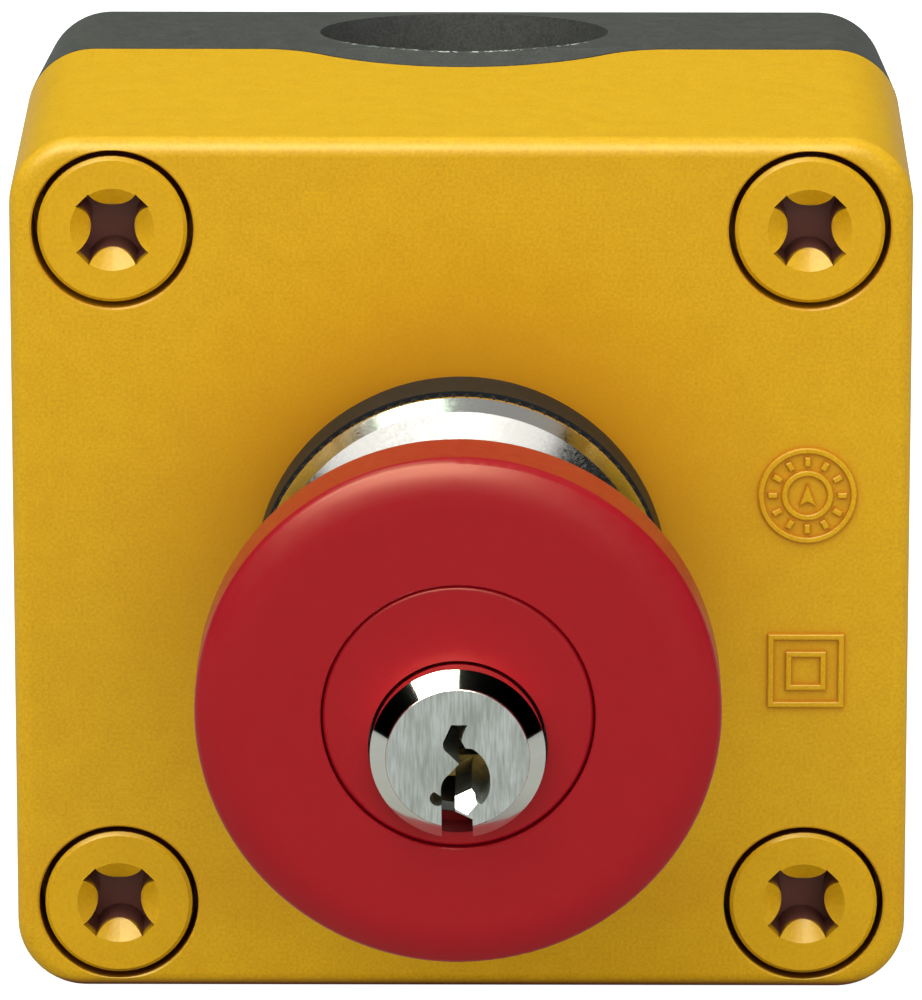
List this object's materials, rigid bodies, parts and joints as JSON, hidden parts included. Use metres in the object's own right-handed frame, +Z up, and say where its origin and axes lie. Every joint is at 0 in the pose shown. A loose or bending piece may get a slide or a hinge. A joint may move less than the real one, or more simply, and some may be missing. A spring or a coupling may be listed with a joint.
{
  "type": "emergency stop button",
  "caption": "Key-release mushroom emergency stop button on a square yellow and dark grey surface enclosure with an open cable entry on top.",
  "frame": {"origin": "centre of the rear mounting face, on the button's axis", "axes": "+Z up, +X to the right seen from the front, -Y out of the wall towards the user"},
  "size_m": [0.0724, 0.1002, 0.0714],
  "materials": {
    "yellow_plastic": "fine moulded grain",
    "yellow_screw_plastic": "smooth moulded",
    "grey_plastic": "fine moulded grain, dark grey",
    "black_plastic": "smooth moulded, black",
    "red_plastic": "satin moulded, signal red",
    "seal_rubber": "soft black rubber",
    "ring_chrome": "bright plated",
    "lock_nickel": "satin nickel face, bright bevel",
    "zinc_casting": "die cast zinc",
    "zinc_plated_steel": "zinc plated",
    "spring_steel": "drawn wire",
    "brass": "plain stamped",
    "block_plastic": "moulded, dark grey",
    "block_red_plastic": "moulded, red",
    "block_green_plastic": "moulded, green"
  },
  "bodies": {
    "enclosure": {"enclosure_base": "grey_plastic", "enclosure_cover": "yellow_plastic", "cover_seal": "seal_rubber", "cover_screws": "yellow_screw_plastic", "collar_gasket": "seal_rubber", "actuator_body": "black_plastic", "front_ring": "ring_chrome", "thrust_washer": "spring_steel", "ring_nut": "zinc_casting", "return_spring": "spring_steel", "nc_housing": "block_plastic", "nc_rear_cover": "block_plastic", "nc_fixed_contacts": "brass", "nc_terminal_screws": "zinc_plated_steel", "nc_clamp_washers": "zinc_plated_steel", "nc_plunger_spring": "spring_steel", "no_housing": "block_plastic", "no_rear_cover": "block_plastic", "no_fixed_contacts": "brass", "no_terminal_screws": "zinc_plated_steel", "no_clamp_washers": "zinc_plated_steel", "no_plunger_spring": "spring_steel"},
    "head": {"mushroom_head": "red_plastic", "head_insert": "red_plastic", "lock_housing": "zinc_casting", "plunger_sleeve": "black_plastic", "plunger_foot": "black_plastic", "stem_screws": "zinc_plated_steel", "pusher_plate": "black_plastic", "pusher_screw": "zinc_plated_steel", "pawl_spring": "spring_steel"},
    "plug": {"lock_plug": "lock_nickel", "lock_wafers": "brass", "cam_shaft": "zinc_casting"},
    "pawl_right": {"latch_pawl_right": "zinc_casting"},
    "pawl_left": {"latch_pawl_left": "zinc_casting"},
    "nc_plunger_body": {"nc_plunger": "block_red_plastic", "nc_bridge": "brass", "nc_contact_spring": "spring_steel"},
    "no_plunger_body": {"no_plunger": "block_green_plastic"},
    "no_bridge_body": {"no_bridge": "brass", "no_contact_spring": "spring_steel"}
  },
  "joints": [
    {"name": "head_push", "type": "slide", "parent": "enclosure", "child": "head", "axis": [0, 1, 0], "range_m": [0, 0.0045], "deforming": ["return_spring"]},
    {"name": "key_turn", "type": "hinge", "parent": "head", "child": "plug", "pos_m": [0, -0.06, -0.0024], "axis": [0, 1, 0], "range_deg": [0, 60]},
    {"name": "latch_pawl_right_slide", "type": "slide", "parent": "head", "child": "pawl_right", "axis": [-1, 0, 0], "range_m": [0, 0.001], "deforming": ["pawl_spring"]},
    {"name": "latch_pawl_left_slide", "type": "slide", "parent": "head", "child": "pawl_left", "axis": [1, 0, 0], "range_m": [0, 0.001]},
    {"name": "nc_plunger_slide", "type": "slide", "parent": "enclosure", "child": "nc_plunger_body", "axis": [0, 1, 0], "range_m": [0, 0.0045], "deforming": ["nc_plunger_spring"]},
    {"name": "no_plunger_slide", "type": "slide", "parent": "enclosure", "child": "no_plunger_body", "axis": [0, 1, 0], "range_m": [0, 0.0045], "deforming": ["no_plunger_spring"]},
    {"name": "no_bridge_slide", "type": "slide", "parent": "enclosure", "child": "no_bridge_body", "axis": [0, 1, 0], "range_m": [0, 0.0017], "deforming": ["no_contact_spring"]}
  ],
  "couplings": [
    {"joint": "latch_pawl_right_slide", "follows": "key_turn", "m_per_rad": 0.0009549},
    {"joint": "latch_pawl_left_slide", "follows": "key_turn", "m_per_rad": 0.0009549},
    {"joint": "nc_plunger_slide", "follows": "head_push", "ratio": 1},
    {"joint": "no_plunger_slide", "follows": "head_push", "ratio": 1},
    {"joint": "no_bridge_slide", "follows": "head_push", "ratio": 0.3777}
  ]
}
